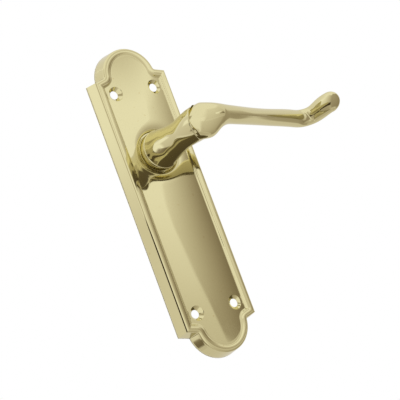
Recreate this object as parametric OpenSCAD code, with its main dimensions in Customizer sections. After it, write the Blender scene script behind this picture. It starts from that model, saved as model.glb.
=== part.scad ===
// Sprung scroll lever handle on a domed, shouldered backplate, left-to-right hand.
// Frame: X runs along the lever, Z is up the plate, the door face is y = 0 and the
// front of the plate faces -Y. The origin is the spindle axis on the door face.
// Inside every module the piece is drawn flat: x across, y up, z out from the door.

/* [Backplate outline] */
// overall height at the door face
plate_h = 168; // [150:0.5:200]
// overall width at the door face
plate_w = 45.2; // [40:0.1:52]
// plate centre below the spindle axis
plate_drop = 25.5; // [0:0.5:40]
// how far each side wall leans in from door to front edge
plate_draft = 1.1; // [0.3:0.1:2]
// width of each square shoulder beside the dome
shoulder_w = 6.25; // [4:0.05:8]
// rise of the shoulder toward the dome
shoulder_rise = 1.7; // [0:0.1:3]
// rise of the end dome above the shoulder
dome_rise = 13.8; // [8:0.1:15]
// fillet in the corner between shoulder and dome
shoulder_fillet = 1.4; // [1.2:0.1:2.5]

/* [Backplate section] */
// door face to the front of the rim
rim_out = 8.9; // [7:0.1:11]
// flat of the rim
rim_w = 2.9; // [1.5:0.1:4]
// width of the ogee between rim and field
ogee_w = 1.9; // [1:0.1:3]
// drop from the rim to the long edges of the field
field_drop = 1.1; // [0.5:0.1:1.6]
// crown of the field across its width
field_crown = 1; // [0.3:0.1:1.5]
// wall left at the rim by the hollow back
wall = 2.5; // [2:0.1:3]

/* [Screw holes] */
// spacing across the plate
screw_dx = 24.6; // [20:0.1:30]
// spacing up the plate
screw_dz = 119.5; // [100:0.5:150]
// clear hole for a wood screw
screw_hole_d = 4.5; // [4:0.1:5.5]
// countersink mouth
screw_head_d = 7.8; // [7:0.1:10]

/* [Opening and bush] */
// opening in the field that takes the foot of the neck
mouth_d = 22; // [21.4:0.1:24]
// width of the rounded edge of that opening
mouth_w = 1.5; // [0.8:0.1:2]
// depth of the rounded edge
mouth_deep = 1.3; // [0.8:0.1:1.6]
// door face to the floor of the opening
seat_out = 7; // [6.6:0.1:7.2]
// outside of the hub behind the plate
hub_d = 25; // [24:0.1:25.5]
// bush outside diameter
bush_d = 19.4; // [19:0.1:20]
// bush flange diameter
bush_flange_d = 23.4; // [22:0.1:25]
// bush flange thickness
flange_t = 0.8; // [0.6:0.05:1]

/* [Lever neck and shank] */
// shank that turns in the bush
shank_d = 16; // [15:0.1:17]
// across the two flats that drive the spring plate
flat_w = 14; // [13:0.1:15]
// square socket for the spindle, across flats
socket_w = 8.1; // [8:0.05:8.3]
// depth of the socket from the end of the shank
socket_deep = 26; // [20:1:32]
// foot of the neck
foot_d = 20.8; // [20:0.1:21.2]
// door face to the edge between the foot and the flare of the neck
collar_out = 12.2; // [11:0.1:13.5]
// narrowest part of the neck
waist_d = 15.2; // [14:0.1:18]
// neck where it meets the grip
crease_d = 17; // [16:0.1:20]
// door face to the crease on the neck axis
crease_out = 48.4; // [40:0.2:55]

/* [Grip] */
// spindle axis to the centre of the end scroll
reach = 86; // [70:1:110]
// door face to the centre of the elbow
elbow_out = 54; // [48:0.5:60]
// door face to the centre of the lowest part of the arm
arm_out = 31.8; // [26:0.2:45]
// door face to the centre of the scroll end
scroll_out = 52; // [42:0.5:60]
// drop of the arm from elbow to scroll
arm_drop = 5.4; // [0:0.1:10]
// half height of the arm
arm_a = 4.5; // [3.5:0.1:6]
// half depth of the arm
arm_b = 4.0; // [3:0.1:6]

/* [Spring plate and stops] */
// steel thickness
steel_t = 1; // [0.8:0.1:1.2]
// radius to the tip of the stop arm
stop_arm_r = 20.5; // [19.5:0.1:21]
// width of the stop arm
stop_arm_w = 6; // [5:0.1:7]
// radius to the stop pins
stop_pin_r = 18; // [17:0.1:19]
// stop pin diameter
stop_pin_d = 3; // [2.5:0.1:3.5]
// travel of the lever
travel = 45; // [30:1:50]
// gap left between arm and pin at each end of travel
stop_gap = 0.3; // [0.1:0.05:0.5]
// radius to the outer face of the spring tab
tab_r = 17.8; // [17:0.1:18.2]
// width of the spring tab
tab_w = 5; // [4:0.1:6]

/* [Return spring] */
// mean coil radius
coil_r = 14.3; // [14:0.05:14.5]
// wire diameter
wire_d = 1.2; // [1:0.05:1.3]
// rise of one turn
coil_pitch = 1.5; // [1.44:0.02:1.6]
// radius to the ends of the legs
leg_r = 18.3; // [17.8:0.1:18.6]
// turn of the coil from its anchored leg to its moving leg
coil_turn = 648; // [640:1:656]

/* [Stack on the shank] */
// door face to the end of the shank
shank_end = 0.2; // [0.1:0.05:0.4]
// door face to the circlip groove
clip_out = 0.6; // [0.5:0.05:1]
// width of the groove
clip_t = 0.8; // [0.6:0.05:1]
// bottom of the groove
groove_d = 15; // [14.6:0.1:15.4]
// radial width of the circlip outside the shank
clip_band = 2; // [1.5:0.1:2.2]
// diameter of the circlip's ears
clip_ear = 4.4; // [4:0.1:5]
// eyes for the fitting pliers
clip_eye = 1.7; // [1.4:0.1:2]
// height of the coned spring
disc_t = 0.6; // [0.5:0.05:0.8]
// thickness of its metal
disc_wall = 0.35; // [0.25:0.05:0.4]
// radial width of the coned spring
disc_w = 2.75; // [2:0.05:3]
// thickness of the thrust washer
washer_t = 0.5; // [0.4:0.05:0.7]

/* [Clearances] */
// radial running gap, shank in bush
run_gap = 0.05; // [0.02:0.01:0.1]
// radial gap of the spring plate on the flats
key_gap = 0.05; // [0.02:0.01:0.1]
// end float of the lever
end_float = 0.1; // [0.05:0.05:0.3]
// gap left on each side of the circlip and between loose faces of the stack
face_gap = 0.05; // [0.02:0.01:0.1]
// room left round the return spring
spring_gap = 0.3; // [0.2:0.05:0.4]
// side gap of the anchored leg in its slot
slot_gap = 0.1; // [0.05:0.05:0.2]
// radial gap of washer and coned spring on the shank
washer_gap = 0.2; // [0.1:0.05:0.3]

/* [Hidden] */
$fn = 64;
grip_sides = 28;
grip_steps = 4;

// the parts list: one name for each separate piece

// outline of the front edge of the plate
half_w = plate_w / 2 - plate_draft;
half_h = plate_h / 2 - plate_draft;
// top of the shoulder where it meets the dome
root_x = half_w - shoulder_w;
root_y = half_h - dome_rise;
sh_len = norm([shoulder_w, shoulder_rise]);
// outward direction of the shoulder edge
sh_n = [shoulder_rise / sh_len, shoulder_w / sh_len];
sh_u = [-sh_n[1], sh_n[0]];
sh_c = root_x * sh_n[0] + root_y * sh_n[1];
dome_r = (root_x * root_x + dome_rise * dome_rise) / (2 * dome_rise);
dome_c = [0, half_h - dome_r];
// centre of the shoulder fillet
fil_p = (sh_c + shoulder_fillet) * sh_n;
fil_b = (fil_p - dome_c) * sh_u;
fil_k = (fil_p - dome_c) * (fil_p - dome_c) - pow(dome_r + shoulder_fillet, 2);
fil_c = fil_p + (-fil_b - sqrt(fil_b * fil_b - fil_k)) * sh_u;
fil_a0 = 180 + atan2(sh_n[1], sh_n[0]);
fil_a1 = 180 + atan2(fil_c[1] - dome_c[1], fil_c[0] - dome_c[0]);
dome_a0 = fil_a1 - 180;
fil_steps = 5;
dome_steps = 12;

// section of the plate: inset from the front edge, height from the door, share of the step down
field_in = rim_w + ogee_w;
field_half = half_w - field_in;
plate_section = [
  [-plate_draft, 0, 0],
  [-0.12, rim_out - 0.75, 0],
  [0.03, rim_out - 0.4, 0],
  [0.3, rim_out - 0.12, 0],
  [0.7, rim_out, 0],
  [rim_w, rim_out, 0],
  [rim_w + 0.25 * ogee_w, rim_out, 0.08],
  [rim_w + 0.5 * ogee_w, rim_out, 0.45],
  [rim_w + 0.75 * ogee_w, rim_out, 0.88],
  [field_in, rim_out, 1]
];
// hollow back
hollow_in = wall - plate_draft + 1.1;
hollow_out = rim_out - wall;

// stack of pieces along the spindle axis, measured out from the door
plate_out = clip_out + clip_t + face_gap;
disc_out = plate_out + steel_t;
washer_out = disc_out + disc_t + face_gap;
flange_out = washer_out + washer_t;
hub_out = flange_out + flange_t;
foot_out = seat_out + end_float;
field_top = rim_out - field_drop + field_crown;
post_out = disc_out + spring_gap;
pin_end = plate_out - 0.6 * steel_t;
pin_root = hollow_out + 0.3 * wall;

// angle between pin and arm centre lines when they meet
stop_half = asin((stop_arm_w / 2 + stop_pin_d / 2 + stop_gap) / stop_pin_r);
rest_a = -90 + travel / 2;
stop_rest_a = rest_a + stop_half;
stop_travel_a = rest_a - travel - stop_half;
// the coil winds down from the anchored leg at the top of the boss to the moving leg
anchor_a = 90;
leg_a = anchor_a + 720 - coil_turn;
tab_a = leg_a + asin((tab_w / 2 + wire_d / 2 + face_gap) / (tab_r - steel_t / 2));
coil_low = disc_out + spring_gap + wire_d / 2;
half_rise = coil_pitch / 2;
coil_top = coil_low + 3 * half_rise;
lead_a = 40;
tail_turn = coil_turn - 540 - lead_a;

function ring_half(d) = concat(
  [for (p = quarter(d, true)) p],
  [for (p = quarter(d, false)) p]);
function quarter_up(d) = concat(
  [[half_w - d, (sh_c - d - sh_n[0] * (half_w - d)) / sh_n[1]]],
  [for (k = [0 : fil_steps])
    let (a = fil_a0 + (fil_a1 - fil_a0) * k / fil_steps)
    fil_c + (shoulder_fillet + d) * [cos(a), sin(a)]],
  [for (k = [1 : dome_steps])
    let (a = dome_a0 + (90 - dome_a0) * k / dome_steps)
    dome_c + (dome_r - d) * [k == dome_steps ? 0 : cos(a), sin(a)]]);
function flip(l) = [for (k = [len(l) - 1 : -1 : 0]) l[k]];
function quarter(d, low) = let (q = quarter_up(d)) low ? [for (p = flip(q)) [p[0], -p[1]]] : q;
// whole outline, counter-clockwise from the foot of the lower dome
function ring(d) = let (h = ring_half(d), n = len(h))
  concat(h, [for (k = [n - 2 : -1 : 1]) [-h[k][0], h[k][1]]]);
// height of the crowned field, the same all along the plate
function field(x) = rim_out - field_drop + field_crown * (1 - pow(x / field_half, 2));

module plate_form() {
  h = ring_half(field_in);
  nr = len(h);
  n = 2 * nr - 2;
  ns = len(plate_section) - 1;
  cols = 8;
  low = [for (s = plate_section) for (p = ring(s[0]))
    [p[0], p[1], s[1] - s[2] * (rim_out - field(p[0]))]];
  inner = [for (i = [1 : nr - 2]) for (c = [1 : cols - 1])
    let (x = h[i][0] * (1 - 2 * c / cols)) [x, h[i][1], field(x)]];
  hollow = [for (z = [0, hollow_out]) for (p = ring(hollow_in)) [p[0], p[1], z]];
  base = ns * n;
  mid = base + n;
  well = mid + len(inner);
  roof = well + n;
  walls = [for (s = [0 : ns - 1]) for (k = [0 : n - 1])
    let (a = s * n + k, b = s * n + (k + 1) % n)
    each [[a, b + n, b], [a, a + n, b + n]]];
  // rows across the field, from its right edge to its left
  rows = [for (i = [0 : nr - 1]) [for (c = [0 : cols])
    c == 0 ? base + i :
    c == cols ? base + (n - i) % n :
    mid + (i - 1) * (cols - 1) + c - 1]];
  grid = [for (i = [1 : nr - 3]) for (c = [0 : cols - 1])
    each [[rows[i][c], rows[i][c + 1], rows[i + 1][c]],
          [rows[i][c + 1], rows[i + 1][c + 1], rows[i + 1][c]]]];
  foot_fan = [for (c = [0 : cols - 1]) [base, rows[1][c + 1], rows[1][c]]];
  head_fan = [for (c = [0 : cols - 1]) [base + nr - 1, rows[nr - 2][c], rows[nr - 2][c + 1]]];
  // back rim, side of the hollow and its roof
  rim = [for (k = [0 : n - 1]) let (j = (k + 1) % n)
    each [[k, j, well + j], [k, well + j, well + k]]];
  side = [for (k = [0 : n - 1]) let (j = (k + 1) % n)
    each [[well + k, well + j, roof + j], [well + k, roof + j, roof + k]]];
  ceiling = [for (i = [0 : nr - 2]) let (a = roof + i, b = roof + (n - i) % n,
      c = roof + i + 1, d = roof + n - i - 1)
    each concat(c == d ? [] : [[a, c, d]], a == b ? [] : [[a, d, b]])];
  polyhedron(points = concat(low, inner, hollow),
    faces = concat(walls, grid, foot_fan, head_fan, rim, side, ceiling), convexity = 8);
}

// rounded edge of the opening, with the opening itself
mouth_line = concat([[0, seat_out], [mouth_d / 2, seat_out]],
  [for (k = [0 : 6]) let (a = 15 * k)
    [mouth_d / 2 + mouth_w * (1 - cos(a)), field_top - mouth_deep * (1 - sin(a))]],
  [[mouth_d / 2 + mouth_w, field_top + 1], [0, field_top + 1]]);
lug_w = 4 * wire_d;

module backplate() color([0.85, 0.76, 0.42]) rotate([90, 0, 0]) difference() {
  union() {
    translate([0, -plate_drop, 0]) plate_form();
    // hub for the bush, a lug that holds the spring's anchored leg, and a post round each stop pin
    translate([0, 0, hub_out]) cylinder(d = hub_d, h = hollow_out + wall / 4 - hub_out);
    rotate([0, 0, anchor_a]) translate([coil_r + wire_d, -lug_w / 2, coil_top - wire_d])
      cube([leg_r + wire_d - coil_r - wire_d, lug_w, hollow_out + wall / 4 - coil_top + wire_d]);
    for (a = [stop_rest_a, stop_travel_a])
      rotate([0, 0, a]) translate([stop_pin_r, 0, post_out])
        cylinder(d = 2 * stop_pin_d, h = hollow_out + wall / 4 - post_out);
  }
  // slot in the lug
  rotate([0, 0, anchor_a]) translate([coil_r, -wire_d / 2 - slot_gap, coil_top - 2 * wire_d])
    cube([2 * coil_r, wire_d + 2 * slot_gap, 2.5 * wire_d + slot_gap]);
  // bore for the bush and opening for the neck
  translate([0, 0, hub_out - 1]) cylinder(d = bush_d, h = rim_out);
  rotate_extrude() polygon(mouth_line);
  // blind holes for the pressed pins
  for (a = [stop_rest_a, stop_travel_a])
    rotate([0, 0, a]) translate([stop_pin_r, 0, 0]) cylinder(d = stop_pin_d, h = pin_root);
  // countersunk fixing holes
  for (x = [-0.5, 0.5], y = [-0.5, 0.5])
    translate([x * screw_dx, y * screw_dz - plate_drop, 0]) {
      top = field(screw_dx / 2);
      cylinder(d = screw_hole_d, h = 2 * rim_out);
      translate([0, 0, top - 1.6]) cylinder(d1 = screw_hole_d, d2 = screw_head_d + 0.8, h = 2);
    }
}

// smooth curve through stations spaced by their chord length
function seg(t, i) = norm([t[i + 1][0] - t[i][0], t[i + 1][1] - t[i][1]]);
function tan_at(t, i) = let (n = len(t) - 1)
  i == 0 ? (t[1] - t[0]) / seg(t, 0) :
  i == n ? (t[n] - t[n - 1]) / seg(t, n - 1) :
  ((t[i + 1] - t[i]) / seg(t, i) * seg(t, i - 1) +
   (t[i] - t[i - 1]) / seg(t, i - 1) * seg(t, i)) / (seg(t, i) + seg(t, i - 1));
function curve(t, i, u) = let (h = seg(t, i))
  (2 * u * u * u - 3 * u * u + 1) * t[i] + (u * u * u - 2 * u * u + u) * h * tan_at(t, i) +
  (3 * u * u - 2 * u * u * u) * t[i + 1] + (u * u * u - u * u) * h * tan_at(t, i + 1);

// neck outline: radius and distance from the door
neck_long = crease_out - collar_out;
flare = (foot_d - waist_d) / 2;
neck_path = [
  [waist_d / 2 + 0.91 * flare, collar_out + 0.01 * neck_long],
  [waist_d / 2 + 0.77 * flare, collar_out + 0.05 * neck_long],
  [waist_d / 2 + 0.62 * flare, collar_out + 0.11 * neck_long],
  [waist_d / 2 + 0.42 * flare, collar_out + 0.21 * neck_long],
  [waist_d / 2 + 0.18 * flare, collar_out + 0.33 * neck_long],
  [waist_d / 2 + 0.05 * flare, collar_out + 0.45 * neck_long],
  [waist_d / 2, collar_out + 0.57 * neck_long],
  [crease_d / 2 - 0.45, collar_out + 0.76 * neck_long],
  [crease_d / 2, crease_out],
  [crease_d / 2 - 0.3, crease_out + 6]
];
neck_line = concat([for (i = [0 : len(neck_path) - 2]) for (k = [0 : 2]) curve(neck_path, i, k / 3)],
  [neck_path[len(neck_path) - 1]]);

// grip stations: x, distance from the door, rise, half height, half depth
sweep_in = elbow_out - arm_out;
sweep_up = scroll_out - arm_out;
grip_path = [
  [0, crease_out, 0, crease_d / 2 + 0.15, crease_d / 2 + 1.1],
  [0.012 * reach, crease_out + 1.6, -0.03 * arm_drop, crease_d / 2 + 0.35, crease_d / 2 + 0.4],
  [0.03 * reach, crease_out + 3.4, -0.05 * arm_drop, 2.04 * arm_a, 1.85 * arm_b],
  [0.078 * reach, elbow_out, 0, 1.65 * arm_a, 1.5 * arm_b],
  [0.148 * reach, elbow_out - 0.01 * sweep_in, 0, 1.19 * arm_a, 1.25 * arm_b],
  [0.241 * reach, elbow_out - 0.11 * sweep_in, -0.14 * arm_drop, 1.04 * arm_a, 1.13 * arm_b],
  [0.416 * reach, elbow_out - 0.385 * sweep_in, -0.35 * arm_drop, 0.98 * arm_a, 1.05 * arm_b],
  [0.626 * reach, elbow_out - 0.7 * sweep_in, -0.57 * arm_drop, arm_a, arm_b],
  [0.812 * reach, elbow_out - 0.95 * sweep_in, -0.8 * arm_drop, 1.05 * arm_a, arm_b],
  [0.898 * reach, arm_out, -0.96 * arm_drop, 1.04 * arm_a, arm_b],
  [0.947 * reach, arm_out + 0.14 * sweep_up, -arm_drop, 1.05 * arm_a, arm_b],
  [0.971 * reach, arm_out + 0.46 * sweep_up, -0.85 * arm_drop, 1.18 * arm_a, 0.95 * arm_b],
  [0.988 * reach, arm_out + 0.81 * sweep_up, -0.74 * arm_drop, 1.19 * arm_a, 0.82 * arm_b],
  [1.012 * reach, scroll_out + 2, -0.82 * arm_drop, 1.2 * arm_a, 0.7 * arm_b]
];

function unit(v) = v / norm(v);
function grip_ring(c, d) =
  let (t = unit([d[0], d[2], d[1]]),
       up = unit([0, 1, 0] - t[1] * t),
       out = cross(t, up))
  [for (k = [0 : grip_sides - 1])
    let (a = 360 * k / grip_sides)
    [c[0], c[2], c[1]] - c[3] * sin(a) * up + c[4] * cos(a) * out];
grip_n = len(grip_path) - 1;
tip_steps = 7;
grip_samples = [for (i = [0 : grip_n - 2]) for (k = [0 : grip_steps - 1]) [i, k / grip_steps, 1]];
// the last span is the rounded end of the scroll
tip_samples = [for (k = [0 : tip_steps]) let (a = 84 * k / tip_steps) [grip_n - 1, sin(a), cos(a)]];
grip_rings = [for (s = concat(grip_samples, tip_samples))
  let (c = curve(grip_path, s[0], s[1]),
       d = s[1] < 0.98 ? curve(grip_path, s[0], s[1] + 0.02) - c : c - curve(grip_path, s[0], s[1] - 0.02))
  grip_ring([c[0], c[1], c[2], c[3] * s[2], c[4] * s[2]], d)];

// lean of the mouth of the grip where it meets the neck
mouth_lean = atan2(grip_path[1][0] - grip_path[0][0], grip_path[1][1] - grip_path[0][1]);

module grip_form() {
  m = len(grip_rings);
  n = grip_sides;
  polyhedron(points = [for (r = grip_rings) for (p = r) p],
    faces = concat(
      [[for (k = [0 : n - 1]) k]],
      [for (j = [0 : m - 2]) for (k = [0 : n - 1])
        let (a = j * n + k, b = j * n + (k + 1) % n)
        each [[a, b + n, b], [a, a + n, b + n]]],
      [[for (k = [n - 1 : -1 : 0]) (m - 1) * n + k]]), convexity = 6);
}

module lever() color([0.86, 0.77, 0.43]) rotate([90, 0, 0]) difference() {
  union() {
    grip_form();
    difference() {
      union() {
        rotate_extrude() polygon(concat(
          [[0, foot_out], [foot_d / 2 - 0.4, foot_out], [foot_d / 2, foot_out + 0.4],
           [foot_d / 2, collar_out - 0.25], [foot_d / 2 - 0.2, collar_out]],
          neck_line, [[0, crease_out + 6]]));
        translate([0, 0, shank_end]) cylinder(d = shank_d, h = foot_out - shank_end + 1);
      }
      // the turned neck stops just inside the slanting mouth of the grip
      translate([0, 0, crease_out]) rotate([0, mouth_lean, 0]) translate([-30, -30, 1.2]) cube([60, 60, 40]);
    }
  }
  // square socket for the spindle
  translate([-socket_w / 2, -socket_w / 2, 0]) cube([socket_w, socket_w, shank_end + socket_deep]);
  // flats that drive the spring plate
  for (s = [-1, 1])
    translate([s * (flat_w / 2 + 5) - 5, -15, -1]) cube([10, 30, disc_out + 1]);
  // groove for the circlip
  translate([0, 0, clip_out]) difference() {
    cylinder(d = shank_d + 2, h = clip_t);
    translate([0, 0, -1]) cylinder(d = groove_d, h = clip_t + 2);
  }
}

module neck_bush() color([0.93, 0.93, 0.9]) rotate([90, 0, 0]) difference() {
  union() {
    translate([0, 0, flange_out]) cylinder(d = bush_flange_d, h = flange_t);
    translate([0, 0, flange_out]) cylinder(d = bush_d, h = seat_out - flange_out);
  }
  translate([0, 0, flange_out - 1]) cylinder(d = shank_d + 2 * run_gap, h = rim_out);
}

module thrust_washer() color([0.7, 0.71, 0.73]) rotate([90, 0, 0])
  translate([0, 0, washer_out]) difference() {
    cylinder(d = bush_flange_d - 1.4, h = washer_t);
    translate([0, 0, -1]) cylinder(d = shank_d + 2 * washer_gap, h = washer_t + 2);
  }

module disc_spring() color([0.55, 0.56, 0.6]) rotate([90, 0, 0])
  translate([0, 0, disc_out]) rotate_extrude()
    polygon([[shank_d / 2 + washer_gap, disc_t - disc_wall], [shank_d / 2 + washer_gap + disc_w, 0],
      [shank_d / 2 + washer_gap + disc_w, disc_wall], [shank_d / 2 + washer_gap, disc_t]]);

module spring_plate() color([0.66, 0.67, 0.7]) rotate([90, 0, 0]) translate([0, 0, plate_out])
  difference() {
    union() {
      cylinder(d = hub_d, h = steel_t);
      rotate([0, 0, rest_a]) translate([0, -stop_arm_w / 2, 0]) cube([stop_arm_r, stop_arm_w, steel_t]);
      rotate([0, 0, tab_a]) {
        translate([0, -tab_w / 2, 0]) cube([tab_r, tab_w, steel_t]);
        translate([tab_r - steel_t, -tab_w / 2, 0])
          cube([steel_t, tab_w, coil_low + wire_d / 2 + 0.2 - plate_out]);
      }
    }
    // hole with two flats
    translate([0, 0, -1]) intersection() {
      cylinder(d = shank_d + 2 * key_gap, h = steel_t + 2);
      translate([-flat_w / 2 - key_gap, -15, 0]) cube([flat_w + 2 * key_gap, 30, steel_t + 2]);
    }
  }

ear_x = clip_ear / 2 + 1.2;
ear_y = shank_d / 2 + 1.25 * clip_band;
module circlip() color([0.35, 0.36, 0.38]) rotate([90, 0, 0])
  translate([0, 0, clip_out + face_gap / 2]) linear_extrude(clip_t - face_gap) difference() {
    union() {
      circle(d = shank_d + 2 * clip_band);
      for (s = [-1, 1]) translate([s * ear_x, ear_y]) circle(d = clip_ear);
    }
    circle(d = groove_d + 2 * face_gap);
    translate([clip_ear / 2 - ear_x - 0.4, 0]) square([2 * ear_x - clip_ear + 0.8, shank_d]);
    for (s = [-1, 1]) translate([s * ear_x, ear_y]) circle(d = clip_eye);
  }

// one half turn that sinks by half the pitch and is level at both ends
module half_turn(a, h) {
  lean = atan2(half_rise, 2 * coil_r);
  rotate([0, 0, a]) translate([0, 0, h - half_rise / 2]) rotate([0, -lean, 0])
    rotate([0, 0, -180]) rotate_extrude(angle = 180)
      translate([norm([coil_r, half_rise / 2]), 0]) circle(d = wire_d, $fn = 24);
}
module flat_turn(a, sweep, h)
  rotate([0, 0, a - sweep]) translate([0, 0, h]) rotate_extrude(angle = sweep)
    translate([coil_r, 0]) circle(d = wire_d, $fn = 24);
module bend(a, h)
  rotate([0, 0, a]) translate([coil_r, 0, h]) sphere(d = 1.04 * wire_d, $fn = 24);
module leg(a, h) {
  rotate([0, 0, a]) translate([coil_r, 0, h]) rotate([0, 90, 0])
    cylinder(d = 0.96 * wire_d, h = leg_r - coil_r, $fn = 24);
  bend(a, h);
}
module return_spring() color([0.5, 0.5, 0.53]) rotate([90, 0, 0]) {
  leg(anchor_a, coil_top);
  flat_turn(anchor_a, lead_a, coil_top);
  for (k = [0 : 2]) half_turn(anchor_a - lead_a - 180 * k, coil_top - k * half_rise);
  for (k = [0 : 3]) bend(anchor_a - lead_a - 180 * k, coil_top - k * half_rise);
  flat_turn(anchor_a - lead_a - 540, tail_turn, coil_low);
  leg(leg_a, coil_low);
}

module pin(a, r, d, low) rotate([90, 0, 0]) rotate([0, 0, a]) translate([r, 0, low]) {
  cylinder(d1 = d - 0.6, d2 = d, h = 0.4);
  translate([0, 0, 0.4]) cylinder(d = d, h = pin_root - low - 0.4);
}
module stop_pin_rest() color([0.6, 0.61, 0.64]) pin(stop_rest_a, stop_pin_r, stop_pin_d, pin_end);
module stop_pin_travel() color([0.6, 0.61, 0.64]) pin(stop_travel_a, stop_pin_r, stop_pin_d, pin_end);

backplate();
lever();
neck_bush();
thrust_washer();
disc_spring();
spring_plate();
circlip();
return_spring();
stop_pin_rest();
stop_pin_travel();
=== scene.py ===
"""Looks for the scroll lever handle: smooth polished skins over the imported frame, and a light studio."""
import math

import bpy
import numpy as np
from mathutils import Matrix, Vector
from mathutils.geometry import delaunay_2d_cdt


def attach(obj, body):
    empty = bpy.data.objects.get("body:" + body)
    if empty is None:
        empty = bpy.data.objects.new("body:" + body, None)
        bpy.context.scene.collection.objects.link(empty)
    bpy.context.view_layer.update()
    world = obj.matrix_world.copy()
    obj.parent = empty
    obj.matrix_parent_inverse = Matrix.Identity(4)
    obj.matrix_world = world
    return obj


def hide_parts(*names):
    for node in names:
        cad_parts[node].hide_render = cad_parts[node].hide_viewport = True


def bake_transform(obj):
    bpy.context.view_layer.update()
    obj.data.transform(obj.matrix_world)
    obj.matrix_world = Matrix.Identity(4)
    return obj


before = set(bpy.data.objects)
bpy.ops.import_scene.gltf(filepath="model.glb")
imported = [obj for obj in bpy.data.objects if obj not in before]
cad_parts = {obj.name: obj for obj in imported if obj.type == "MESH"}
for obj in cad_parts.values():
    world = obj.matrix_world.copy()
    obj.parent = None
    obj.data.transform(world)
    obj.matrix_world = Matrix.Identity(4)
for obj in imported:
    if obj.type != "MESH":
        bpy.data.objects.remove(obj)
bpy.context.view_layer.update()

# Sizes in millimetres, as in the part's source. Every piece is drawn flat:
# x across, y up from the spindle, and N out from the door.
PLATE_W, PLATE_H, PLATE_DROP, DRAFT = 45.2, 168.0, 25.5, 1.1
SHOULDER_W, SHOULDER_RISE, DOME_RISE, FILLET = 6.25, 1.7, 13.8, 1.4
RIM_OUT, RIM_W, OGEE_W, FIELD_DROP, FIELD_CROWN = 8.9, 2.9, 1.9, 1.1, 1.0
SCREW_DX, SCREW_DZ, SCREW_R = 24.6, 119.5, 2.25
SINK_R, SINK_DEEP, SINK_SPREAD, SINK_LIP = 3.9, 1.6, 1.025, 0.05
MOUTH_R, MOUTH_W, MOUTH_DEEP, SEAT_OUT, BUSH_R = 11.0, 1.5, 1.3, 7.0, 9.7
DISH_R, DISH_DEEP = 18.5, 0.3
HOLLOW_OUT = 6.4
# The side wall leans in by WALL_LEAN for each millimetre out, above a small chamfer at the back.
WALL_LEAN, BACK_EASE = 0.986 / 8.196, 0.12
# Only in the looks: the rim's crown (where it tops and how fast it falls), the front edge's rounding
# (radius, inset and first angle), and how much narrower the ogee is on each side.
RIM_TOP, RIM_SOFT, EDGE_R, EDGE_D, EDGE_FROM, OGEE_TRIM = 1.3, 0.045, 1.25, 1.068, 6.9, 0.2
# The front face's mesh: its rings round the opening (first and last radius, count and turn of each), its even
# field (step, range across and up, inset, and distance from the spindle), how far the points along the outline
# keep from the spindle and all points from a screw, its rings round a countersink, and the inset that every
# face of it passes.
RING_R0, RING_R1, RINGS, RING_TWIST = MOUTH_R + MOUTH_W + 0.2, 19.6, 21, 0.02
FIELD_STEP, FIELD_X, FIELD_Y, FIELD_IN, FIELD_CLEAR = 1.3, (-17, 17.01), (-108, 58), 6.3, 20.2
OUTLINE_CLEAR, SINK_CLEAR, SINK_RINGS, FACE_IN = 19.5, 5.1, (0.25, 0.7), 0.66
# Insets of the points along the outline, close together over the ogee.
ALONG = np.concatenate([[1.7, 2.2, 2.8], np.arange(2.95, 4.95, 0.16), [5.2, 5.7]])
# Points round a turned surface, round a screw hole and round the grip.
ROUND, HOLE_ROUND, GRIP_ROUND = 144, 48, 96
# Points in the parts of the outline, and rows up the side wall and round its front edge.
SIDE_POINTS, FLAT_POINTS, FILLET_POINTS, DOME_POINTS = 131, 9, 15, 45
WALL_ROWS, EDGE_ROWS = 8, 17
# How far the row next to a seam keeps from it.
BESIDE = 0.1
# For telling CAD faces apart by where they lie: the inset that only the hollow's faces pass, and two slacks.
HOLLOW_IN, SLACK, TIGHT = 1.5, 0.05, 0.01

HALF_W, HALF_H = PLATE_W / 2 - DRAFT, PLATE_H / 2 - DRAFT
ROOT = np.array([HALF_W - SHOULDER_W, HALF_H - DOME_RISE])
SH_N = np.array([SHOULDER_RISE, SHOULDER_W]) / math.hypot(SHOULDER_RISE, SHOULDER_W)
SH_U = np.array([-SH_N[1], SH_N[0]])
SH_C = ROOT @ SH_N
DOME_R = (ROOT[0] ** 2 + DOME_RISE ** 2) / (2 * DOME_RISE)
DOME_C = np.array([0.0, HALF_H - DOME_R])
FIELD_HALF = HALF_W - RIM_W - OGEE_W


def circle(count):
    """The angles of so many even points round a circle."""
    return np.arange(count) * 2 * math.pi / count


def polar(r, a):
    """Flat points at radius r and angles a."""
    return np.stack([r * np.cos(a), r * np.sin(a)], -1)


def at_height(flat, n):
    """Points of the flat drawing, raised to one height or each to its own."""
    return np.column_stack([flat, np.broadcast_to(n, len(flat))])


def fillet_centre():
    """Centre of the arc in the corner between shoulder and dome."""
    p = (SH_C + FILLET) * SH_N
    b = (p - DOME_C) @ SH_U
    k = (p - DOME_C) @ (p - DOME_C) - (DOME_R + FILLET) ** 2
    return p + (-b - math.sqrt(b * b - k)) * SH_U


FIL_C = fillet_centre()
FIL_A0 = math.pi + math.atan2(SH_N[1], SH_N[0])
FIL_A1 = math.pi + math.atan2(*(FIL_C - DOME_C)[::-1])
DOME_A0 = FIL_A1 - math.pi


def end_line(d):
    """Right half of the upper end of the outline, from its outer corner to the apex, at inset d."""
    corner = np.array([HALF_W - d, (SH_C - d - SH_N[0] * (HALF_W - d)) / SH_N[1]])
    fil = FIL_C + polar(FILLET + d, np.linspace(FIL_A0, FIL_A1, FILLET_POINTS))
    flat = corner + np.linspace(0, 1, FLAT_POINTS)[:-1, None] * (fil[0] - corner)
    dome = DOME_C + polar(DOME_R - d, np.linspace(DOME_A0, math.pi / 2, DOME_POINTS)[1:])
    return np.vstack([flat, fil, dome])


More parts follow.
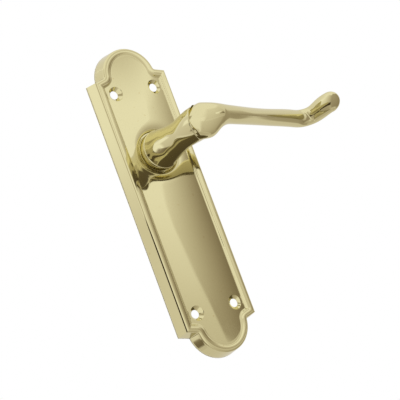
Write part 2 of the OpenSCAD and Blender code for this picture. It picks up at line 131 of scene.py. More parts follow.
def outline(d):
    """The outline's four smooth runs at inset d, counter-clockwise: right side, top, left side, foot."""
    e = end_line(d)
    top = np.vstack([e, e[-2::-1] * [-1, 1]])
    height = np.linspace(-e[0][1], e[0][1], SIDE_POINTS)
    side = np.stack([np.full(SIDE_POINTS, HALF_W - d), height], 1)
    return [run - [0, PLATE_DROP] for run in (side, top, -side, -top)]


def inset(x, y):
    """How far a point inside the outline lies from it."""
    x, y = np.abs(x), np.abs(y + PLATE_DROP)
    dx, dy = x - FIL_C[0], y - FIL_C[1]
    a = np.mod(np.arctan2(dy, dx), 2 * math.pi)
    in_fillet = (a >= min(FIL_A0, FIL_A1)) & (a <= max(FIL_A0, FIL_A1))
    shoulder = SH_C - x * SH_N[0] - y * SH_N[1]
    dome = DOME_R - np.hypot(x, y - DOME_C[1])
    end = np.where(in_fillet, np.hypot(dx, dy) - FILLET, np.maximum(shoulder, dome))
    return np.minimum(HALF_W - x, end)


def field_out(x):
    """Height of the crowned field."""
    return RIM_OUT - FIELD_DROP + FIELD_CROWN * (1 - (x / FIELD_HALF) ** 2)


SINK_OUT = field_out(SCREW_DX / 2) - SINK_DEEP


def plate_height(x, y):
    """Front of the plate without its opening: polished rim, a touch crowned, ogee and crowned field."""
    d = inset(x, y)
    t = np.clip((d - RIM_W - OGEE_TRIM) / (OGEE_W - 2 * OGEE_TRIM), 0, 1)
    crown = RIM_SOFT * np.minimum(d - RIM_TOP, RIM_W + OGEE_W - RIM_TOP) ** 2
    fall = 0.5 - 0.5 * np.cos(math.pi * t)
    return RIM_OUT - fall * (RIM_OUT - field_out(x)) - (1 - fall) * crown


def front(x, y):
    """Front of the plate, with the soft dish and the rounded edge of the opening for the neck."""
    r = np.hypot(x, y)
    dish = DISH_DEEP * np.clip((DISH_R - r) / (DISH_R - MOUTH_R), 0, 1) ** 3
    lip = np.clip((MOUTH_R + MOUTH_W - r) / MOUTH_W, 0, 1)
    return plate_height(x, y) - dish - MOUTH_DEEP * (1 - np.sqrt(np.maximum(1 - lip * lip, 0)))


def front_normal(x, y, e=0.02):
    """Unit normal of the front, from heights a little to each side."""
    gx = (front(x + e, y) - front(x - e, y)) / (2 * e)
    gy = (front(x, y + e) - front(x, y - e)) / (2 * e)
    n = np.stack([-gx, -gy, np.ones_like(gx)], -1)
    return n / np.linalg.norm(n, axis=-1, keepdims=True)


def turn(v):
    """Flat drawing axes to the part's axes."""
    return np.stack([v[..., 0], -v[..., 2], v[..., 1]], -1)


def slopes(p):
    """Unit-speed direction along the first axis, allowing for uneven steps."""
    d = np.diff(p, axis=0)
    h = np.maximum(np.linalg.norm(d, axis=-1, keepdims=True), 1e-9)
    d /= h
    mid = (d[:-1] * h[1:] + d[1:] * h[:-1]) / (h[1:] + h[:-1])
    return np.concatenate([d[:1], mid, d[-1:]])


def place(name, data):
    """A new object in the scene."""
    ob = bpy.data.objects.new(name, data)
    bpy.context.scene.collection.objects.link(ob)
    return ob


class Skin:
    """Collects smooth patches with their own normals, and builds one mesh object from them."""

    def __init__(self):
        self.v, self.n, self.f, self.count = [], [], [], 0

    def add(self, verts, normals, faces):
        self.v.append(np.asarray(verts, float).reshape(-1, 3))
        self.n.append(np.asarray(normals, float).reshape(-1, 3))
        self.f += [[i + self.count for i in f] for f in faces]
        self.count += len(self.v[-1])

    def grid(self, p, away, wrap=False, inward=False):
        """A patch over rows and columns of points. It faces away from a point (or from each row's own),
        or toward it where inward is set."""
        p = np.asarray(p, float)
        rows, cols = p.shape[:2]
        if wrap:
            across = np.roll(p, -1, 1) - np.roll(p, 1, 1)
        else:
            across = slopes(p.swapaxes(0, 1)).swapaxes(0, 1)
        n = np.cross(slopes(p), across)
        n /= np.maximum(np.linalg.norm(n, axis=-1, keepdims=True), 1e-12)
        out = ((n * (p - away)).sum() > 0) != inward
        faces = []
        for i in range(rows - 1):
            for j in range(cols if wrap else cols - 1):
                k = (j + 1) % cols
                q = [i * cols + j, (i + 1) * cols + j, (i + 1) * cols + k, i * cols + k]
                faces.append(q if out else q[::-1])
        self.add(p, n if out else -n, faces)

    def cad(self, node, keep):
        """The faces of a CAD node whose centres pass keep(x, y, N)."""
        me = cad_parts[node].data
        me.calc_loop_triangles()
        tri = np.array([t.vertices for t in me.loop_triangles])
        co = np.array([v.co for v in me.vertices]) * 1000
        p = np.stack([co[:, 0], co[:, 2], -co[:, 1]], 1)[tri]
        n = np.cross(p[:, 1] - p[:, 0], p[:, 2] - p[:, 0])
        size = np.linalg.norm(n, axis=1)
        ok = size > 1e-9
        p, n = p[ok], n[ok] / size[ok, None]
        ok = keep(*p.mean(1).T)
        p, n = p[ok], n[ok]
        self.add(p, np.repeat(n, 3, 0), np.arange(len(p) * 3).reshape(-1, 3).tolist())

    def build(self, name, body, node, material):
        me = bpy.data.meshes.new(name)
        me.from_pydata((turn(np.vstack(self.v)) * 0.001).tolist(), [], self.f)
        me.polygons.foreach_set("use_smooth", [True] * len(me.polygons))
        me.normals_split_custom_set_from_vertices(turn(np.vstack(self.n)).tolist())
        me.materials.append(material)
        ob = place(name, me)
        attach(ob, body)
        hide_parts(node)


def spline(table, steps, last=None):
    """Smooth curve through the table's rows, spaced by the chord of their first two columns. Natural ends.
    The last span takes its own steps where they are given."""
    t = np.asarray(table, float)
    s = np.concatenate([[0], np.cumsum(np.hypot(*np.diff(t[:, :2], axis=0).T))])
    h = np.diff(s)
    n = len(t)
    a, b = np.eye(n), np.zeros_like(t)
    for i in range(1, n - 1):
        a[i, i - 1:i + 2] = [h[i - 1], 2 * (h[i - 1] + h[i]), h[i]]
        b[i] = 6 * ((t[i + 1] - t[i]) / h[i] - (t[i] - t[i - 1]) / h[i - 1])
    m = np.linalg.solve(a, b)
    even = np.arange(steps) / steps
    if last is None:
        last = np.arange(steps + 1) / steps
    out = []
    for i in range(n - 1):
        for u in last if i == n - 2 else even:
            w = 1 - u
            out.append(w * t[i] + u * t[i + 1]
                       + h[i] ** 2 / 6 * ((w ** 3 - w) * m[i] + (u ** 3 - u) * m[i + 1]))
    return np.array(out)


def arc(cx, cy, r, a0, a1):
    """Six steps round part of a circle, between angles in degrees."""
    return polar(r, np.radians(np.linspace(a0, a1, 7))) + [cx, cy]


def lathe(profile):
    """A profile of (radius, N) turned about the spindle's line."""
    profile = np.asarray(profile, float)
    ring = polar(profile[:, :1], circle(ROUND))
    return np.concatenate([ring, np.repeat(profile[:, None, 1:], ROUND, 1)], -1)


def plate_edge(skin):
    """The leaning side wall and the rounded front edge."""
    bend_out = RIM_OUT - EDGE_R
    wall = [(WALL_LEAN * n - DRAFT, n) for n in np.linspace(BACK_EASE, bend_out - BESIDE, WALL_ROWS)]
    edge = [(EDGE_D - EDGE_R * math.cos(a), bend_out + EDGE_R * math.sin(a))
            for a in np.radians(np.linspace(EDGE_FROM, 90, EDGE_ROWS))]
    section = [(BACK_EASE - DRAFT, 0.0)] + wall + edge
    for rows in zip(*[[at_height(run, n) for run in outline(d)] for d, n in section]):
        skin.grid(rows, (0, -PLATE_DROP, -40))


def countersinks():
    """Each countersink's centre, and the edge that its cone makes in the crowned field."""
    sinks = []
    for sx in (-1, 1):
        for sy in (-1, 1):
            centre = np.array([sx * SCREW_DX / 2, sy * SCREW_DZ / 2 - PLATE_DROP])
            r = SINK_R
            for _ in range(12):
                edge = centre + polar(r, circle(HOLE_ROUND))
                r = SCREW_R + SINK_SPREAD * (front(*edge.T) - SINK_OUT)
            sinks.append((centre, edge))
    return sinks


def face_points(sinks):
    """Points in the front face: along the outline, an even field, and rings round the openings."""
    near = np.vstack([run[:-1] for d in ALONG for run in outline(d)])
    near = near[np.hypot(*near.T) > OUTLINE_CLEAR]
    x, y = np.meshgrid(np.arange(*FIELD_X, FIELD_STEP), np.arange(*FIELD_Y, FIELD_STEP))
    x = x + (np.arange(len(y)) % 2)[:, None] * FIELD_STEP / 2
    field = np.stack([x.ravel(), y.ravel()], 1)
    field = field[(inset(*field.T) > FIELD_IN) & (np.hypot(*field.T) > FIELD_CLEAR)]
    pts = np.vstack([near, field])
    rings = [polar(RING_R0 + (RING_R1 - RING_R0) * k / RINGS, circle(ROUND) + k * RING_TWIST)
             for k in range(1, RINGS)]
    for centre, edge in sinks:
        pts = pts[np.hypot(*(pts - centre).T) > SINK_CLEAR]
        u = (edge - centre) / np.linalg.norm(edge - centre, axis=1, keepdims=True)
        rings += [edge + grow * u for grow in SINK_RINGS]
    return np.vstack([pts] + rings)


def plate_face(skin, sinks):
    """The front face, triangulated with the opening for the neck and the four countersinks left open."""
    rim = np.vstack([run[:-1] for run in outline(EDGE_D)])
    verts, edges = [], []
    for loop in [rim, polar(RING_R0, circle(ROUND))] + [edge for _, edge in sinks]:
        base = len(verts)
        verts += [Vector(p) for p in loop]
        edges += [(base + i, base + (i + 1) % len(loop)) for i in range(len(loop))]
    verts += [Vector(p) for p in face_points(sinks)]
    flat, _, faces, _, _, _ = delaunay_2d_cdt(verts, edges, [], 0, 1e-5)
    flat, faces = np.array([tuple(v) for v in flat]), np.array([list(f) for f in faces])
    # the triangulation also fills the openings and the outline's inner corners; the bounds allow for the chords
    c = flat[faces].mean(1)
    ok = (inset(*c.T) > FACE_IN) & (np.hypot(*c.T) > RING_R0 * math.cos(math.pi / ROUND) - 1e-3)
    angles = np.append(circle(HOLE_ROUND), 2 * math.pi)
    for centre, edge in sinks:
        d = c - centre
        reach = np.linalg.norm(edge - centre, axis=1)
        turned = np.mod(np.arctan2(d[:, 1], d[:, 0]), 2 * math.pi)
        ok &= np.hypot(*d.T) > 0.998 * np.interp(turned, angles, np.append(reach, reach[0]))
    faces = faces[ok]
    p = flat[faces]
    clockwise = np.cross(p[:, 1] - p[:, 0], p[:, 2] - p[:, 0]) < 0
    faces[clockwise] = faces[clockwise][:, ::-1]
    x, y = flat.T
    skin.add(at_height(flat, front(x, y)), front_normal(x, y), faces.tolist())


def plate_mouth(skin):
    """The opening for the neck: its rounded edge, its wall and its floor."""
    radii = [RING_R0, RING_R0 - BESIDE]
    radii += [MOUTH_R + MOUTH_W * (1 - math.cos(math.radians(k))) for k in range(90, -1, -6)]
    rings = [polar(r, circle(ROUND)) for r in radii]
    rows = [at_height(ring, front(*ring.T)) for ring in rings]
    skin.grid(rows, (0, 0, -30), wrap=True)
    skin.grid([rows[-1], at_height(rings[-1], SEAT_OUT)], (0, 0, 8), wrap=True, inward=True)
    skin.grid(lathe([(MOUTH_R, SEAT_OUT), (BUSH_R, SEAT_OUT)]), (0, 0, 0), wrap=True)


def countersink(skin, centre, edge):
    """The cone, a touch sunk next to its edge, and the screw hole down to the hollow."""
    reach = np.linalg.norm(edge - centre, axis=1, keepdims=True)
    u = (edge - centre) / reach
    top = front(*edge.T)
    rows = []
    for t in (0, 0.04, 0.1, 0.4, 0.7, 1):
        n = top + (SINK_OUT - top) * t - SINK_LIP * (0 < t < 0.3)
        rows.append(at_height(centre + u * (reach + (SCREW_R - reach) * t), n))
    skin.grid(rows, (*centre, -60), wrap=True)
    rows = [at_height(centre + u * SCREW_R, n) for n in (SINK_OUT, HOLLOW_OUT)]
    skin.grid(rows, (*centre, SINK_OUT), wrap=True, inward=True)


def backplate(material):
    skin, sinks = Skin(), countersinks()
    plate_edge(skin)
    plate_face(skin, sinks)
    plate_mouth(skin)
    for sink in sinks:
        countersink(skin, *sink)

    def behind(x, y, n):
        """The back's rim, the hollow and the bush's bore, but not the screw holes' walls."""
        hole = np.zeros(len(x), bool)
        for centre, _ in sinks:
            hole |= np.hypot(x - centre[0], y - centre[1]) < SCREW_R + SLACK
        hollow = (inset(x, y) > HOLLOW_IN) & (n < SEAT_OUT - SLACK) & ~(hole & (n > HOLLOW_OUT + TIGHT))
        bore = (np.hypot(x, y) < BUSH_R + SLACK) & (n < SEAT_OUT - TIGHT)
        return (n < TIGHT / 2) | hollow | bore

    skin.cad("backplate", behind)
    skin.build("backplate_casting", "plate_body", "backplate", material)


REACH, ELBOW_OUT, ARM_OUT, SCROLL_OUT, ARM_DROP = 86.0, 54.0, 31.8, 52.0, 5.4
ARM_A, ARM_B, FOOT_R, FOOT_OUT, COLLAR_OUT = 4.5, 4.0, 10.4, 7.1, 12.2
WAIST_R, CREASE_R, CREASE_OUT, SHANK_R = 7.6, 8.5, 48.4, 8.0
FOOT_EASE, COLLAR_EASE, FOOT_ROWS = 0.4, 0.25, (9.0, 10.5, 11.7)
# The crease's half width and depth, and how far the neck goes on inside the grip.
CREASE_W, CREASE_DEEP, NECK_IN = 0.18, 0.25, 2.0
# A box round the socket for the spindle: half its width, and its top.
SOCKET_HALF, SOCKET_OUT = 4.2, 27
NECK_LONG, NECK_END, FLARE = CREASE_OUT - COLLAR_OUT, CREASE_OUT + 6, FOOT_R - WAIST_R
# Radius and height of the neck.
NECK = [[WAIST_R + flare * FLARE, COLLAR_OUT + up * NECK_LONG] for flare, up in (
    (0.91, 0.01), (0.77, 0.05), (0.62, 0.11), (0.42, 0.21), (0.18, 0.33), (0.05, 0.45), (0, 0.57))]
NECK += [
    [CREASE_R - 0.45, COLLAR_OUT + 0.76 * NECK_LONG],
    [CREASE_R, CREASE_OUT],
    [CREASE_R - 0.3, NECK_END],
]
SI, SU = ELBOW_OUT - ARM_OUT, SCROLL_OUT - ARM_OUT
# The grip's centre line (x, N, y), and half the height and half the depth of its oval section.
GRIP = [
    [0, CREASE_OUT, 0, CREASE_R + 0.15, CREASE_R + 1.1],
    [0.012 * REACH, CREASE_OUT + 1.6, -0.03 * ARM_DROP, CREASE_R + 0.35, CREASE_R + 0.4],
    [0.03 * REACH, CREASE_OUT + 3.4, -0.05 * ARM_DROP, 2.04 * ARM_A, 1.85 * ARM_B],
    [0.078 * REACH, ELBOW_OUT, 0, 1.65 * ARM_A, 1.5 * ARM_B],
    [0.148 * REACH, ELBOW_OUT - 0.01 * SI, 0, 1.19 * ARM_A, 1.25 * ARM_B],
    [0.241 * REACH, ELBOW_OUT - 0.11 * SI, -0.14 * ARM_DROP, 1.04 * ARM_A, 1.13 * ARM_B],
    [0.416 * REACH, ELBOW_OUT - 0.385 * SI, -0.35 * ARM_DROP, 0.98 * ARM_A, 1.05 * ARM_B],
    [0.626 * REACH, ELBOW_OUT - 0.7 * SI, -0.57 * ARM_DROP, ARM_A, ARM_B],
    [0.812 * REACH, ELBOW_OUT - 0.95 * SI, -0.8 * ARM_DROP, 1.05 * ARM_A, ARM_B],
    [0.898 * REACH, ARM_OUT, -0.96 * ARM_DROP, 1.04 * ARM_A, ARM_B],
    [0.947 * REACH, ARM_OUT + 0.14 * SU, -ARM_DROP, 1.05 * ARM_A, ARM_B],
    [0.971 * REACH, ARM_OUT + 0.46 * SU, -0.85 * ARM_DROP, 1.18 * ARM_A, 0.95 * ARM_B],
    [0.988 * REACH, ARM_OUT + 0.81 * SU, -0.74 * ARM_DROP, 1.19 * ARM_A, 0.82 * ARM_B],
    [1.012 * REACH, SCROLL_OUT + 2, -0.82 * ARM_DROP, 1.2 * ARM_A, 0.7 * ARM_B],
]
# The lip at the grip's mouth: share of the mouth's size, and depth inside it.
LIP = ((0.8, 0.06), (0.994, 0.06), (0.998, 0.045), (0.9995, 0.02))
# Steps between the rows of the two tables, then the rounding of the grip's tip (rings, degrees and how far its
# point stands out), and where the neck's fine rows start, with their step.
GRIP_STEPS, NECK_STEPS = 22, 14
TIP_RINGS, TIP_TURN, TIP_OUT, FINE_FROM, FINE_STEP = 30, 88, 0.25, 41.5, 0.1


def grip(skin):
    """Rings square to the centre line, each upright. Gives the centre and direction of the mouth."""
    tip = np.radians(np.linspace(0, TIP_TURN, TIP_RINGS))
    path = spline(GRIP, GRIP_STEPS, np.sin(tip))
    path[-TIP_RINGS:, 3:] *= np.cos(tip)[:, None]
    c = path[:, [0, 2, 1]]
    t = np.gradient(c, np.concatenate([[0], np.cumsum(np.linalg.norm(np.diff(c, axis=0), axis=1))]), axis=0)
    t[0] = np.subtract(GRIP[1], GRIP[0])[[0, 2, 1]]
    t /= np.linalg.norm(t, axis=1, keepdims=True)
    up = np.array([0, 1, 0]) - t[:, 1:2] * t
    up /= np.linalg.norm(up, axis=1, keepdims=True)
    out = np.cross(t, up)
    a = circle(GRIP_ROUND)[:, None]
    half = path[:, 3:, None, None]
    rings = c[:, None] - half[:, 0] * np.sin(a) * up[:, None] + half[:, 1] * np.cos(a) * out[:, None]
    # rounded lip at the mouth, then its flat inside edge
    lip = [c[0] + (rings[0] - c[0]) * share - t[0] * deep for share, deep in LIP]
    centres = np.vstack([c[:1]] * len(lip) + [c])
    skin.grid(np.concatenate([lip, rings]), centres[:, None], wrap=True)
    count = GRIP_ROUND
    skin.add(np.vstack([rings[-1], c[-1] + t[-1] * TIP_OUT]), np.repeat(t[-1:], count + 1, 0),
             [[j, (j + 1) % count, count] for j in range(count)])
    return c[0], t[0]


def neck(skin, mouth, axis):
    """Turned foot and neck, with a fine groove along the slanting mouth of the grip."""
    curve = spline(NECK, NECK_STEPS)
    fine = np.arange(FINE_FROM, NECK_END, FINE_STEP)
    line = np.vstack([[(SHANK_R, FOOT_OUT), (FOOT_R - FOOT_EASE, FOOT_OUT)],
                      arc(FOOT_R - FOOT_EASE, FOOT_OUT + FOOT_EASE, FOOT_EASE, -90, 0),
                      [(FOOT_R, n) for n in FOOT_ROWS],
                      arc(FOOT_R - COLLAR_EASE, COLLAR_OUT - COLLAR_EASE, COLLAR_EASE, 0, 70),
                      curve[curve[:, 1] < FINE_FROM - FINE_STEP],
                      np.stack([np.interp(fine, curve[:, 1], curve[:, 0]), fine], 1)])
    p = lathe(line)
    gap = ((p - mouth) * axis).sum(-1, keepdims=True) + CREASE_W
    groove = CREASE_DEEP * np.exp(-(gap / CREASE_W) ** 2)
    p[..., :2] -= groove * p[..., :2] / np.maximum(np.linalg.norm(p[..., :2], axis=-1, keepdims=True), 1)
    skin.grid(p - np.maximum(gap - NECK_IN, 0) * axis, (0, 0, 30), wrap=True)


def lever(material):
    skin = Skin()
    neck(skin, *grip(skin))

    def behind(x, y, n):
        """The shank behind the foot, and the socket for the spindle."""
        socket = (np.abs(x) < SOCKET_HALF) & (np.abs(y) < SOCKET_HALF) & (n < SOCKET_OUT)
        return (n < FOOT_OUT - TIGHT) | socket

    skin.cad("lever", behind)
    skin.build("lever_forging", "lever_body", "lever", material)


def return_spring():
    """The coil: a copy of its CAD mesh, fixed at rest in place of the CAD node; it doesn't wind up with the
    lever.
    """
    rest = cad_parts["return_spring"]
    coil = place("v_return_spring", rest.data.copy())
    coil.matrix_world = rest.matrix_world.copy()
    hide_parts("return_spring")
    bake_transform(coil)


class Nodes:
    """A material, and short ways to add nodes to it."""

    def __init__(self, name):
        self.mat = bpy.data.materials.new(name)
        self.mat.use_nodes = True
        self.nt = self.mat.node_tree

    def node(self, kind, **values):
        n = self.nt.nodes.new("ShaderNode" + kind)
        for key, val in values.items():
            if hasattr(n, key):
                setattr(n, key, val)
            else:
                n.inputs[key.replace("_", " ")].default_value = val
        return n

    def link(self, source, target):
        self.nt.links.new(source, target)

    def maths(self, operation, a, b):
        n = self.node("Math", operation=operation)
        self.link(a, n.inputs[0])
        self.link(b, n.inputs[1])
        return n.outputs[0]

    def spread(self, source, low, high, start=0.3, end=0.7):
        """A value carried from start..end to low..high."""
        n = self.node("MapRange", From_Min=start, From_Max=end, To_Min=low, To_Max=high)
        self.link(source, n.inputs["Value"])
        return n.outputs["Result"]


class Surface(Nodes):
    """A material round a Principled shader, with patterns in the object's own coordinates (metres)."""

    def __init__(self, name, metallic, coat=0.0):
        super().__init__(name)
        self.bsdf = self.nt.nodes["Principled BSDF"]
        self.bsdf.inputs["Metallic"].default_value = metallic
        self.bsdf.inputs["Coat Weight"].default_value = coat
        self.bsdf.inputs["Coat Roughness"].default_value = 0.04
        self.at = self.node("TexCoord").outputs["Object"]
        self.bump = None

    def noise(self, per_metre, detail, stretch=(1, 1, 1)):
        """Cloudy pattern, so many features to the metre, drawn out along an axis by a small stretch."""
        m = self.node("Mapping", Scale=stretch)
        n = self.node("TexNoise", Scale=per_metre, Detail=detail)
        self.link(self.at, m.inputs["Vector"])
        self.link(m.outputs[0], n.inputs["Vector"])
        return n.outputs["Fac"]

    def turned(self, per_metre):
        """Fine rings round the spindle's axis, as turning leaves them."""
        w = self.node("TexWave", wave_type="RINGS", rings_direction="Y",
                      Scale=per_metre, Distortion=1.5, Detail=3.0)
        self.link(self.at, w.inputs["Vector"])
        return w.outputs["Fac"]

    def facing_back(self):
        """1 where the surface faces the door, 0 elsewhere."""
        parts = self.node("SeparateXYZ")
        self.link(self.node("TexCoord").outputs["Normal"], parts.inputs[0])
        return self.spread(parts.outputs["Y"], 0, 1)

    def colour(self, clean, worn, where):
        n = self.node("Mix", data_type="RGBA")
        n.inputs["A"].default_value = (*clean, 1)
        n.inputs["B"].default_value = (*worn, 1)
        self.link(where, n.inputs["Factor"])
        self.link(n.outputs["Result"], self.bsdf.inputs["Base Color"])

    def rough(self, source):
        self.link(source, self.bsdf.inputs["Roughness"])

    def relief(self, source, depth):
        """Adds a pattern to the surface's relief, its depth in metres."""
        n = self.node("Bump", Distance=depth)
        self.link(source, n.inputs["Height"])
        if self.bump:
            self.link(self.bump, n.inputs["Normal"])
        self.bump = n.outputs["Normal"]
        self.link(self.bump, self.bsdf.inputs["Normal"])


# Colours of the clean and the worn metal or plastic.
BRASS, BRASS_DULL = (0.79, 0.731, 0.424), (0.7, 0.6, 0.31)
NYLON, NYLON_YELLOWED = (0.86, 0.85, 0.8), (0.74, 0.71, 0.6)
ZINC, ZINC_DULL, ZINC_RUBBED = (0.66, 0.67, 0.69), (0.5, 0.51, 0.54), (0.54, 0.54, 0.5)
OILED, OILED_DARK = (0.36, 0.36, 0.38), (0.2, 0.18, 0.16)
PHOSPHATE, PHOSPHATE_RUBBED = (0.1, 0.1, 0.11), (0.2, 0.2, 0.21)
WIRE, WIRE_STAINED = (0.4, 0.4, 0.43), (0.25, 0.24, 0.23)
GROUND, GROUND_DULL = (0.58, 0.59, 0.61), (0.42, 0.42, 0.43)


def brass(name, along, cast_back=False):
    """Cast brass, mirror polished and lacquered: low waves, faint hairlines, smudges and a few dull specks.

    A plate's back, which faces +Y, is left as cast: grainy and dull.
    """
    m = Surface(name, metallic=1.0, coat=0.12)
    specks = m.spread(m.noise(420, 2), 0, 1, start=0.73, end=0.78)
    cloud = m.spread(m.noise(38, 4), 0, 0.35)
    hair = m.noise(2600, 2, along)
    worn = m.maths("ADD", specks, m.spread(cloud, 0, 0.06, start=0, end=0.35))
    m.colour(BRASS, BRASS_DULL, worn)
    smudges = m.spread(m.noise(55, 5), 0.03, 0.075)
    rough = m.maths("ADD", smudges, m.spread(hair, 0, 0.05, start=0.62, end=0.8))
    if cast_back:
        back = m.facing_back()
        rough = m.maths("ADD", rough, m.spread(back, 0, 0.34, start=0, end=1))
        m.relief(m.maths("MULTIPLY", back, m.noise(1100, 3)), 0.00006)
    m.rough(rough)
    m.relief(m.noise(21, 1), 0.00009)
    m.relief(hair, 0.0000006)
    return m.mat


def steel(name, clean, worn, rough, stretch=None):
    """Bright or dark steel, with turned rings or drawn lines, plating clouds and rubbed patches."""
    m = Surface(name, metallic=1.0)
    lines = m.turned(900) if stretch is None else m.noise(1800, 3, stretch)
    cloud = m.noise(160, 4)
    m.colour(clean, worn, m.spread(cloud, 0, 0.8))
    m.rough(m.maths("ADD", m.spread(cloud, rough - 0.06, rough + 0.08), m.spread(lines, 0, 0.1)))
    m.relief(lines, 0.000004)
    return m.mat


def nylon(name):
    """Moulded nylon: a fine satin grain, a little yellowed in clouds."""
    m = Surface(name, metallic=0.0)
    cloud = m.noise(90, 4)
    m.colour(NYLON, NYLON_YELLOWED, m.spread(cloud, 0, 0.6))
    m.rough(m.spread(cloud, 0.38, 0.55))
    m.relief(m.noise(3500, 2), 0.000012)
    return m.mat


# The hidden steel pieces: material, clean and worn colour, roughness, and the stretch of drawn lines.
STEELS = {
    "thrust_washer": ("washer_zinc", ZINC, ZINC_DULL, 0.3),
    "disc_spring": ("spring_steel_oiled", OILED, OILED_DARK, 0.28),
    "spring_plate": ("plate_zinc", ZINC, ZINC_RUBBED, 0.33, (1, 1, 0.04)),
    "circlip": ("clip_phosphate", PHOSPHATE, PHOSPHATE_RUBBED, 0.5, (1, 1, 1)),
    "return_spring": ("wire_drawn", WIRE, WIRE_STAINED, 0.26),
    "stop_pin_rest": ("pin_ground_rest", GROUND, GROUND_DULL, 0.2, (1, 0.05, 1)),
    "stop_pin_travel": ("pin_ground_travel", GROUND, GROUND_DULL, 0.2, (1, 0.05, 1)),
}


def dress_hidden_pieces():
    """The hidden pieces keep their CAD meshes and get a material each."""
    looks = {"neck_bush": nylon("bush_nylon")}
    looks.update((node, steel(*row)) for node, row in STEELS.items())
    for node, look in looks.items():
        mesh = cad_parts[node].data
        mesh.materials.clear()
        mesh.materials.append(look)


# The camera, solved from the plate's outline: its axes, place in metres and lens in millimetres.
RIGHT = np.array([0.7945, -0.4984, -0.347])
UP = np.array([0.1977, -0.328, 0.9238])
AHEAD = np.array([0.5742, 0.8025, 0.1621])
CAMERA_AT, LENS, SENSOR = (-0.4897, -0.7122, -0.1719), 154.1, 36.0

# Curved screens round the handle: name, distance in metres, width of the soft edge in degrees, share of the
# brightness left in a reflection of a reflection, then the left and right ends of each row, lowest row first,
# as azimuth, elevation and brightness. The angles are degrees right of and above the line from the handle to
# the camera's place.
SCREENS = [
    ("ceiling", 5.2, 6, 1, [(-180, 18, 0.93), (180, 18, 0.93)], [(-180, 90, 0.93), (180, 90, 0.93)]),
    ("ground", 5.3, 6, 0.5, [(-180, -90, 0.55), (180, -90, 0.55)], [(-180, -58, 0.55), (180, -58, 0.55)]),
    ("upper_wall", 5.1, 8, 1, [(12, 6, 0.74), (120, 6, 0.44)], [(12, 68, 0.84), (120, 68, 0.8)]),
    ("back_wall", 5.0, 6, 0.7, [(95, -80, 0.62), (240, -80, 0.66)], [(95, 62, 0.78), (240, 62, 0.86)]),
    ("left_wall", 4.9, 6, 1, [(-125, -70, 0.6), (-92, -70, 0.6)], [(-125, 40, 0.85), (-92, 40, 0.9)]),
    ("front_light", 4.8, 4, 0.6, [(-32, -36, 0.88), (20, -36, 0.88)], [(-32, 30, 0.95), (20, 30, 0.95)]),
    ("front_wall", 4.7, 6, 0.2, [(12, -64, 0.6), (118, -64, 0.33)], [(12, 14, 0.74), (118, 14, 0.42)]),
    ("low_front", 4.6, 8, 0.4, [(-30, -80, 0.5), (16, -80, 0.5)], [(-30, -32, 0.8), (16, -32, 0.75)]),
    ("floor_shade", 4.5, 4, 1, [(-114, -70, 0.1), (-22, -70, 0.7)], [(-108, -46, 0.16), (-22, -40, 0.6)],
     [(-92, -34, 0.52), (-22, -10, 0.5)], [(-86, -10, 0.8), (-24, -4, 0.4)]),
    ("left_light", 4.45, 4, 1, [(-85, -12, 0.9), (-22, -12, 0.36)], [(-85, 48, 1.08), (-26, 48, 0.42)]),
    ("low_dark", 0.25, 1.5, 1, [(-90, -26, 0.05), (-26, -14, 0.08)], [(-90, -5, 0.04), (-20, 15, 0.06)]),
    ("doorway", 4.4, 4, 1, [(88, 1, 0.36), (124, 1, 0.27)], [(88, 30, 0.58), (124, 32, 0.7)]),
    ("right_shade", 4.35, 8, 1, [(80, -38, 0.36), (110, -38, 0.33)], [(80, 9, 0.44), (110, 9, 0.34)]),
    ("scroll_flag", 0.045, 12, 1, [(-40, -60, 0.34), (110, -60, 0.3)], [(-40, 80, 0.5), (110, 80, 0.3)]),
    ("bright_wall", 4.3, 2, 1, [(44, 25, 0.6), (84, 25, 0.6)], [(44, 31.5, 0.94), (84, 31.5, 0.94)],
     [(44, 38, 0.99), (84, 38, 0.99)]),
    ("side_wall", 4.2, 0.7, 1, [(68, 25.5, 0.34), (92, 22, 0.1)], [(60.5, 31.3, 0.8), (90, 30.5, 0.2)],
     [(73.5, 36, 0.92), (90, 36, 0.6)]),
    ("softbox", 4.0, 4, 1, [(-112, -13, 0.96), (-90, -13, 0.96)], [(-112, 6, 1.04), (-90, 6, 1.04)]),
]
# Two of them are cards that hang close to one spot of the part, in metres. Rays longer than FLAG_REACH miss the
# nearer card, so that it doesn't show in the rest of the part.
NEAR = {"low_dark": (-0.021, -0.009, -0.06), "scroll_flag": (0.084, -0.052, -0.003)}
FLAG_REACH = 0.056
# A screen's cells in degrees, the fewest lines across or up it, and the most that a soft edge takes of it.
CELL, FEWEST, SOFT_MOST = 2.5, 6, 0.49
# Dim screens are warmer. The powers of the green and blue light, in a first reflection and in later ones.
GREEN_POWER, BLUE_POWER = (1.13, 1.08), (1.33, 1.15)
# The floor's half width and its height from the spindle, in metres.
FLOOR_HALF, FLOOR_Z = 6, -1


def toward(az, el):
    """Unit vectors toward azimuth and elevation in degrees."""
    az, el = np.radians(az)[..., None], np.radians(el)[..., None]
    return np.cos(el) * np.sin(az) * RIGHT + np.sin(el) * UP - np.cos(el) * np.cos(az) * AHEAD


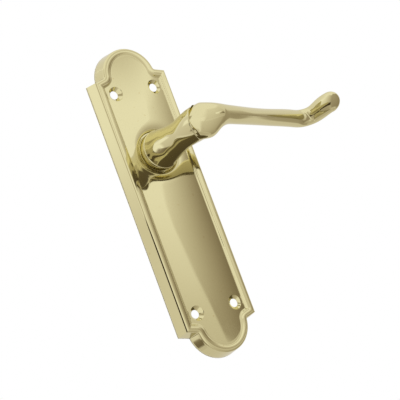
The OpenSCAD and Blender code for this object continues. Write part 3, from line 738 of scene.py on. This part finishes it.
def screen(name, far, soft, deep, *rows):
    """A curved screen that only reflections see, as flags and soft boxes stand round polished metal."""
    rows = np.array(rows, float)
    wide = rows[:, 1, 0] - rows[:, 0, 0]
    tall = np.abs(np.diff(rows[:, :, 1].mean(1)))
    top = len(rows) - 1
    # even cells, with one more line where each soft edge ends
    edge = min(soft / wide.min(), SOFT_MOST)
    across = [np.linspace(0, 1, max(int(wide.max() / CELL), FEWEST)), [edge, 1 - edge]]
    up = [np.linspace(0, top, max(int(tall.sum() / CELL), FEWEST) * top),
          [min(soft / tall[0], SOFT_MOST), top - min(soft / tall[-1], SOFT_MOST)]]
    u, v = np.meshgrid(*[np.unique(np.round(np.concatenate(lines), 6)) for lines in (across, up)])
    k = np.minimum(v.astype(int), top - 1)
    t = (v - k)[..., None]
    left, right = [rows[k, side] * (1 - t) + rows[k + 1, side] * t for side in (0, 1)]
    az, el, level = np.moveaxis(left + (right - left) * u[..., None], -1, 0)
    # a screen all the way round has no soft sides, and one up to the zenith no soft top
    from_side = np.minimum(u, 1 - u) * np.interp(v, np.arange(top + 1), wide) if wide.min() < 360 else soft
    from_end = v * tall[0] if rows[-1, 0, 1] >= 90 else np.minimum(v * tall[0], (top - v) * tall[-1])
    fade = np.clip(np.minimum(from_side, from_end) / soft, 0, 1)
    count, cols = u.shape
    faces = [[i * cols + j, i * cols + j + 1, (i + 1) * cols + j + 1, (i + 1) * cols + j]
             for i in range(count - 1) for j in range(cols - 1)]
    me = bpy.data.meshes.new(name)
    me.from_pydata((toward(az, el) * far + NEAR.get(name, (0, 0, 0))).reshape(-1, 3).tolist(), [], faces)
    for key, val in (("level", level), ("fade", fade)):
        me.attributes.new(key, "FLOAT", "POINT").data.foreach_set("value", val.ravel().astype(np.float32))
    me.materials.append(screen_look("screen_" + name, deep, far < FLAG_REACH))
    ob = place(name, me)
    ob.visible_camera = ob.visible_diffuse = ob.visible_shadow = False


def screen_look(name, deep, close):
    """Plain light by the mesh's level, faded out at its edges. Only short rays see a close screen."""
    m = Nodes(name)
    m.nt.nodes.clear()
    path = m.node("LightPath")

    def by_bounce(first, later):
        return m.spread(path.outputs["Ray Depth"], first, later, start=1, end=2)

    level, fade = [m.node("Attribute", attribute_name=key).outputs["Fac"] for key in ("level", "fade")]
    glare = m.maths("MULTIPLY", level, by_bounce(1, deep))
    rgb = m.node("CombineColor")
    m.link(glare, rgb.inputs["Red"])
    m.link(m.maths("POWER", glare, by_bounce(*GREEN_POWER)), rgb.inputs["Green"])
    m.link(m.maths("POWER", glare, by_bounce(*BLUE_POWER)), rgb.inputs["Blue"])
    if close:
        short = m.node("Math", operation="LESS_THAN")
        short.inputs[1].default_value = FLAG_REACH
        m.link(path.outputs["Ray Length"], short.inputs[0])
        fade = m.maths("MULTIPLY", fade, short.outputs[0])
    glow, mix = m.node("Emission"), m.node("MixShader")
    m.link(rgb.outputs["Color"], glow.inputs["Color"])
    m.link(fade, mix.inputs["Fac"])
    m.link(m.node("BsdfTransparent").outputs[0], mix.inputs[1])
    m.link(glow.outputs[0], mix.inputs[2])
    m.link(mix.outputs[0], m.node("OutputMaterial").inputs["Surface"])
    return m.mat


def studio():
    for row in SCREENS:
        screen(*row)
    world = bpy.data.worlds.new("studio")
    bpy.context.scene.world = world
    world.use_nodes = True
    world.node_tree.nodes["Background"].inputs["Color"].default_value = (1, 1, 1, 1)
    me = bpy.data.meshes.new("floor")
    corners = [(x * FLOOR_HALF, y * FLOOR_HALF, FLOOR_Z) for x, y in ((-1, -1), (1, -1), (1, 1), (-1, 1))]
    me.from_pydata(corners, [], [[0, 1, 2, 3]])
    pale = Nodes("pale_floor")
    b = pale.nt.nodes["Principled BSDF"]
    b.inputs["Base Color"].default_value = (0.95, 0.95, 0.945, 1)
    b.inputs["Roughness"].default_value = 0.9
    b.inputs["Specular IOR Level"].default_value = 0.0
    me.materials.append(pale.mat)
    ob = place("floor", me)
    ob.visible_glossy = False


def camera():
    cam = bpy.data.cameras.new("camera")
    cam.sensor_width = SENSOR
    cam.lens = LENS
    ob = place("camera", cam)
    m = Matrix((Vector(RIGHT), Vector(UP), -Vector(AHEAD))).transposed().to_4x4()
    m.translation = Vector(CAMERA_AT)
    ob.matrix_world = m
    bpy.context.scene.camera = ob


backplate(brass("polished_brass_plate", (1, 1, 0.03), True))
lever(brass("polished_brass_lever", (0.03, 1, 1)))
dress_hidden_pieces()
return_spring()
studio()
camera()

bpy.context.scene.view_settings.view_transform = "Standard"
